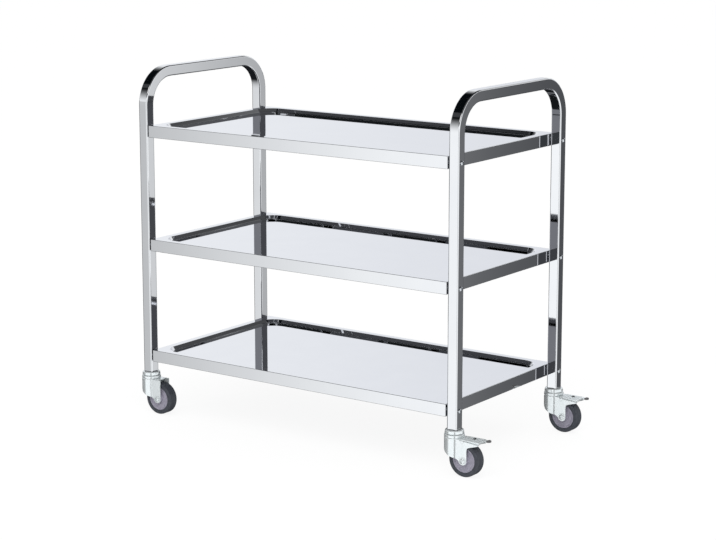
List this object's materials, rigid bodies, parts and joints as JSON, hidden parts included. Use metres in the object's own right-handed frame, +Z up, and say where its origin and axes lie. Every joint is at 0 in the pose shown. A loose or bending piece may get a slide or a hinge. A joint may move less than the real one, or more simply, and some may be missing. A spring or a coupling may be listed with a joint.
{
  "type": "kitchen trolley",
  "caption": "Polished steel serving trolley: three shallow trays bolted between two looped square-tube end frames, on swivel castors with foot brakes at one end.",
  "frame": {"origin": "on the floor, under the middle of the bounding box", "axes": "+X along the trays towards the braked castors, +Y from the front long side to the back, +Z up"},
  "size_m": [0.9744, 0.4698, 0.828],
  "materials": {
    "polished_tube": "mirror polished",
    "polished_sheet": "mirror polished",
    "bright_fixing": "bright",
    "zinc_plate": "bright zinc",
    "black_plastic": "matt",
    "grey_plastic": "satin",
    "dark_tyre": "satin",
    "grey_cap": "satin",
    "black_rubber": "matt"
  },
  "bodies": {
    "trolley": {"left_end_frame": "polished_tube", "right_end_frame": "polished_tube", "top_tray": "polished_sheet", "middle_tray": "polished_sheet", "bottom_tray": "polished_sheet", "tray_bolts": "bright_fixing", "tray_spacers": "bright_fixing", "tray_nuts": "bright_fixing", "leg_plugs": "black_plastic", "castor_stems": "zinc_plate", "swivel_balls": "zinc_plate", "front_left_upper_race": "zinc_plate", "back_left_upper_race": "zinc_plate", "front_right_upper_race": "zinc_plate", "back_right_upper_race": "zinc_plate"},
    "front_left_castor": {"front_left_lower_race": "zinc_plate", "front_left_fork": "zinc_plate", "front_left_axle_bolt": "zinc_plate", "front_left_axle_nut": "zinc_plate", "front_left_axle_sleeve": "zinc_plate"},
    "front_left_wheel": {"front_left_wheel_core": "grey_plastic", "front_left_tyre": "dark_tyre"},
    "back_left_castor": {"back_left_lower_race": "zinc_plate", "back_left_fork": "zinc_plate", "back_left_axle_bolt": "zinc_plate", "back_left_axle_nut": "zinc_plate", "back_left_axle_sleeve": "zinc_plate"},
    "back_left_wheel": {"back_left_wheel_core": "grey_plastic", "back_left_tyre": "dark_tyre"},
    "front_right_castor": {"front_right_lower_race": "zinc_plate", "front_right_fork": "zinc_plate", "front_right_axle_bolt": "zinc_plate", "front_right_axle_nut": "zinc_plate", "front_right_axle_sleeve": "zinc_plate", "front_right_pedal_pin": "zinc_plate"},
    "front_right_wheel": {"front_right_wheel_core": "grey_plastic", "front_right_tyre": "dark_tyre"},
    "front_right_brake": {"front_right_brake_pedal": "zinc_plate", "front_right_toe_cap": "grey_cap", "front_right_brake_shoe": "black_rubber"},
    "back_right_castor": {"back_right_lower_race": "zinc_plate", "back_right_fork": "zinc_plate", "back_right_axle_bolt": "zinc_plate", "back_right_axle_nut": "zinc_plate", "back_right_axle_sleeve": "zinc_plate", "back_right_pedal_pin": "zinc_plate"},
    "back_right_wheel": {"back_right_wheel_core": "grey_plastic", "back_right_tyre": "dark_tyre"},
    "back_right_brake": {"back_right_brake_pedal": "zinc_plate", "back_right_toe_cap": "grey_cap", "back_right_brake_shoe": "black_rubber"}
  },
  "joints": [
    {"name": "front_left_swivel", "type": "hinge", "parent": "trolley", "child": "front_left_castor", "pos_m": [-0.4648, -0.2125, 0.082], "axis": [0, 0, 1], "continuous": true},
    {"name": "front_left_wheel_spin", "type": "hinge", "parent": "front_left_castor", "child": "front_left_wheel", "pos_m": [-0.4334, -0.2125, 0.0375], "axis": [0, 1, 0], "continuous": true},
    {"name": "back_left_swivel", "type": "hinge", "parent": "trolley", "child": "back_left_castor", "pos_m": [-0.4648, 0.2125, 0.082], "axis": [0, 0, 1], "continuous": true},
    {"name": "back_left_wheel_spin", "type": "hinge", "parent": "back_left_castor", "child": "back_left_wheel", "pos_m": [-0.4334, 0.2125, 0.0375], "axis": [0, 1, 0], "continuous": true},
    {"name": "front_right_swivel", "type": "hinge", "parent": "trolley", "child": "front_right_castor", "pos_m": [0.4002, -0.2125, 0.082], "axis": [0, 0, 1], "continuous": true},
    {"name": "front_right_wheel_spin", "type": "hinge", "parent": "front_right_castor", "child": "front_right_wheel", "pos_m": [0.4316, -0.2125, 0.0375], "axis": [0, 1, 0], "continuous": true},
    {"name": "front_right_brake_pedal_turn", "type": "hinge", "parent": "front_right_castor", "child": "front_right_brake", "pos_m": [0.4308, -0.2125, 0.079], "axis": [0, 1, 0], "range_deg": [0, 5]},
    {"name": "back_right_swivel", "type": "hinge", "parent": "trolley", "child": "back_right_castor", "pos_m": [0.4002, 0.2125, 0.082], "axis": [0, 0, 1], "continuous": true},
    {"name": "back_right_wheel_spin", "type": "hinge", "parent": "back_right_castor", "child": "back_right_wheel", "pos_m": [0.4316, 0.2125, 0.0375], "axis": [0, 1, 0], "continuous": true},
    {"name": "back_right_brake_pedal_turn", "type": "hinge", "parent": "back_right_castor", "child": "back_right_brake", "pos_m": [0.4308, 0.2125, 0.079], "axis": [0, 1, 0], "range_deg": [0, 5]}
  ]
}
